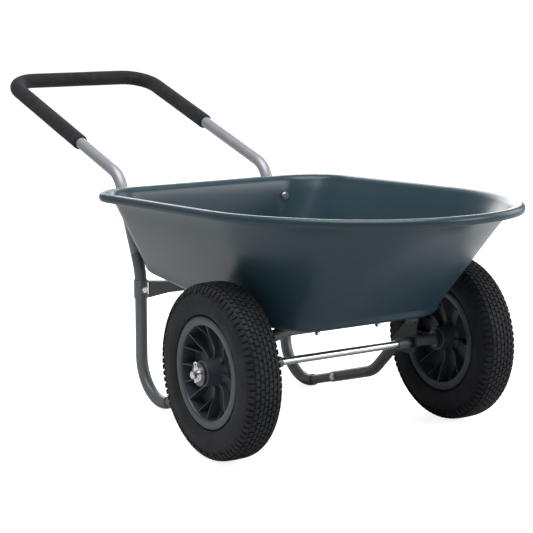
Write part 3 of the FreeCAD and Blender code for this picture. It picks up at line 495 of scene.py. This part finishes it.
def make_grip():
    tube_low, tube_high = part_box("handle_tube")
    span = (tube_high.x - tube_low.x) / 2 - TUBE_RADIUS
    crossbar_y = tube_high.y - TUBE_RADIUS
    crossbar_z = tube_high.z - TUBE_RADIUS
    slope = Vector((0, math.cos(ARM_RISE), math.sin(ARM_RISE)))
    route = [Vector((x, crossbar_y, crossbar_z)) + slope * back
             for x, back in grip_route(span, GRIP_LEFT, GRIP_RIGHT)]
    upright = Vector((0, -math.sin(ARM_RISE), math.cos(ARM_RISE)))
    lengths = [0.0]
    for start, end in zip(route, route[1:]):
        lengths.append(lengths[-1] + (end - start).length)
    sleeve, bore = [], []
    for index, spot in enumerate(route):
        along = (route[min(index + 1, len(route) - 1)] - route[max(index - 1, 0)]).normalized()
        across = along.cross(upright).normalized()
        from_end = min(lengths[index], lengths[-1] - lengths[index])
        tuck = min(1.0, GRIP_TUCK + (1 - GRIP_TUCK) * math.sqrt(from_end / GRIP_END))
        swell = 1 + GRIP_SWELL * math.sin(lengths[index] / GRIP_WAVE)
        for ring, radius in ((sleeve, GRIP_RADIUS * tuck * swell), (bore, TUBE_RADIUS)):
            for side in range(GRIP_SIDES):
                angle = TURN * side / GRIP_SIDES
                ring.append(spot + across * (radius * math.cos(angle)) + upright * (radius * math.sin(angle)))
    count = len(route)
    points = sleeve + bore
    faces = loop_faces(count, GRIP_SIDES) + loop_faces(count, GRIP_SIDES, start=len(sleeve))
    for start in (0, (count - 1) * GRIP_SIDES):
        for side in range(GRIP_SIDES):
            other = (side + 1) % GRIP_SIDES
            faces.append((start + side, start + other, len(sleeve) + start + other,
                          len(sleeve) + start + side))
    grip = make_piece("foam_sleeve", points, faces, foam_skin, "frame")
    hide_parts("foam_grip")
    smoother = grip.modifiers.new("smooth", "SUBSURF")
    smoother.levels = smoother.render_levels = 1


# ---------------------------------------------------------------- CAD nodes that stay
FINISHES = {
    "handle_tube": painted_light_frame_paint,
    "front_frame_tube": frame_paint,
    "leg": frame_paint,
    "rear_brace": frame_paint,
    "axle_bracket": painted_shade_frame_paint,
    "axle_sleeve": frame_paint,
    "outer_washer": dull_zinc,
    "inner_washer": dull_zinc,
    "axle_rod": rod_zinc,
    "wall_spacers": frame_paint,
    "tyre": tyre_rubber,
    "inner_tube": tyre_rubber,
    "valve": tyre_rubber,
    "rim": rim_plastic,
    "bush": bush_plastic,
    "tray": tray_plastic,
    "foam_grip": foam_skin,
}


def dress_nodes():
    for name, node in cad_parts.items():
        found = [finish for start, finish in FINISHES.items() if name.startswith(start)]
        finish = found[0] if found else zinc
        node.data.materials.clear()
        node.data.materials.append(finish)


# ---------------------------------------------------------------- stage, light and camera
BACKDROP = 1.4
ROOM_LIGHT = 0.36
FLOOR_GLOW = 0.85
SOFTBOXES = [
    ("overhead_softbox", (-0.4, -0.5, 3.2), (3.0, 3.0), 160),
    ("right_softbox", (3.2, -0.5, 1.3), (2.2, 2.0), 34),
    ("front_softbox", (2.2, -3.2, 1.6), (1.8, 1.4), 60),
    ("rear_softbox", (1.9, 3.0, 1.3), (3.0, 1.2), 45),
]
AIM = (0, 0, 0.35)
PALE_DARK = (0.62, 0.62, 0.62)
PALE_LIGHT = (0.64, 0.64, 0.64)
FLOOR_RADIUS = 60.0
FLOOR_TURNS = 96
CAMERA_AT = (-1.8444, -2.9122, 0.8836)
CAMERA_LOOKS = (0.5405, 0.8235, -0.1723)
CAMERA_LENS = 113.19
SENSOR = 36.0


def make_stage():
    mesh = bpy.data.meshes.new("studio_floor")
    angles = [TURN * step / FLOOR_TURNS for step in range(FLOOR_TURNS)]
    rim = [(FLOOR_RADIUS * math.cos(angle), FLOOR_RADIUS * math.sin(angle), 0) for angle in angles]
    mesh.from_pydata(rim, [], [tuple(range(FLOOR_TURNS))])
    floor = bpy.data.objects.new("studio_floor", mesh)
    scene.collection.objects.link(floor)
    pale = finish_of("pale_floor", PALE_DARK, PALE_LIGHT, (0.7, 0.8), patch=2, grain=40, bump=0.0)
    shader = next(node for node in pale.node_tree.nodes if node.type == "BSDF_PRINCIPLED")
    shader.inputs["Emission Color"].default_value = (1, 1, 1, 1)
    nodes, links = pale.node_tree.nodes, pale.node_tree.links
    rays = nodes.new("ShaderNodeLightPath")
    glow = nodes.new("ShaderNodeMath")
    glow.operation = "MULTIPLY"
    glow.inputs[1].default_value = FLOOR_GLOW
    links.new(rays.outputs["Is Camera Ray"], glow.inputs[0])
    links.new(glow.outputs["Value"], shader.inputs["Emission Strength"])
    mesh.materials.append(pale)


def add_light(name, at, size, power):
    lamp = bpy.data.lights.new(name, "AREA")
    lamp.shape = "RECTANGLE"
    lamp.size, lamp.size_y = size
    lamp.energy = power
    holder = bpy.data.objects.new(name, lamp)
    holder.location = at
    holder.rotation_euler = (Vector(AIM) - Vector(at)).to_track_quat("-Z", "Y").to_euler()
    scene.collection.objects.link(holder)


def light_the_scene():
    world = bpy.data.worlds.new("studio")
    scene.world = world
    world.use_nodes = True
    nodes, links = world.node_tree.nodes, world.node_tree.links
    backdrop = nodes["Background"]
    backdrop.inputs["Strength"].default_value = BACKDROP
    room = nodes.new("ShaderNodeBackground")
    room.inputs["Strength"].default_value = ROOM_LIGHT
    for part in (backdrop, room):
        part.inputs["Color"].default_value = (1, 1, 1, 1)
    mix = nodes.new("ShaderNodeMixShader")
    rays = nodes.new("ShaderNodeLightPath")
    links.new(rays.outputs["Is Camera Ray"], mix.inputs["Fac"])
    links.new(room.outputs["Background"], mix.inputs[1])
    links.new(backdrop.outputs["Background"], mix.inputs[2])
    links.new(mix.outputs["Shader"], nodes["World Output"].inputs["Surface"])
    for name, at, size, power in SOFTBOXES:
        add_light(name, at, size, power)


def add_camera():
    camera = bpy.data.cameras.new("camera")
    camera.lens = CAMERA_LENS
    camera.sensor_width = SENSOR
    holder = bpy.data.objects.new("camera", camera)
    holder.location = CAMERA_AT
    holder.rotation_euler = Vector(CAMERA_LOOKS).to_track_quat("-Z", "Y").to_euler()
    scene.collection.objects.link(holder)
    scene.camera = holder


scene.view_settings.view_transform = "Standard"
add_camera()
make_stage()
light_the_scene()
dress_nodes()
make_tray()
make_grip()
for side_name, side_sign in SIDES.items():
    make_tyre(side_name, side_sign)
    make_rim(side_name, side_sign)
